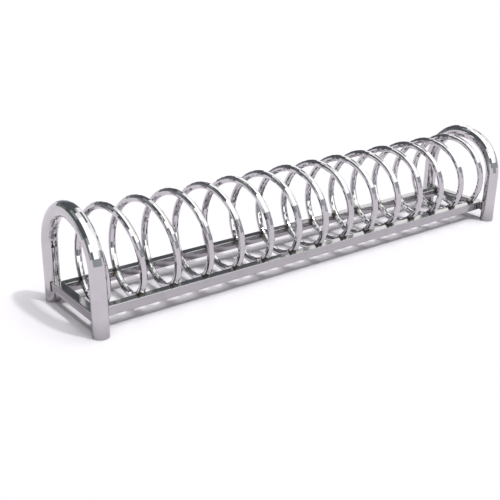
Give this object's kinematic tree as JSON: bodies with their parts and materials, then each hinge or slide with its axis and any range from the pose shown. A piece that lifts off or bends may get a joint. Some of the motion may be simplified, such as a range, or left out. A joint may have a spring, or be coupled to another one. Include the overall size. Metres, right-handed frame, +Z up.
{
  "type": "spiral bike rack",
  "caption": "Low free-standing bike rack: a long horizontal tube coil, welded into two square rails between bent tube end hoops, holds bicycle wheels between its turns.",
  "frame": {"origin": "on the floor, under the middle of the rack", "axes": "+X along the rack to its right end as seen from the front, -Y to the front, +Z up"},
  "size_m": [1.65, 0.33, 0.33],
  "materials": {
    "hoop_chrome": "polished",
    "coil_chrome": "polished",
    "bar_chrome": "satin",
    "weld": "as welded",
    "foot_plastic": "matte"
  },
  "bodies": {
    "root": {"left_hoop": "hoop_chrome", "right_hoop": "hoop_chrome", "front_rail": "bar_chrome", "rear_rail": "bar_chrome", "left_crossbar": "bar_chrome", "right_crossbar": "bar_chrome", "coil": "coil_chrome", "front_coil_welds": "weld", "rear_coil_welds": "weld", "left_crossbar_welds": "weld", "right_crossbar_welds": "weld", "left_rail_welds": "weld", "right_rail_welds": "weld", "front_left_foot_plug": "foot_plastic", "rear_left_foot_plug": "foot_plastic", "front_right_foot_plug": "foot_plastic", "rear_right_foot_plug": "foot_plastic"}
  },
  "joints": []
}
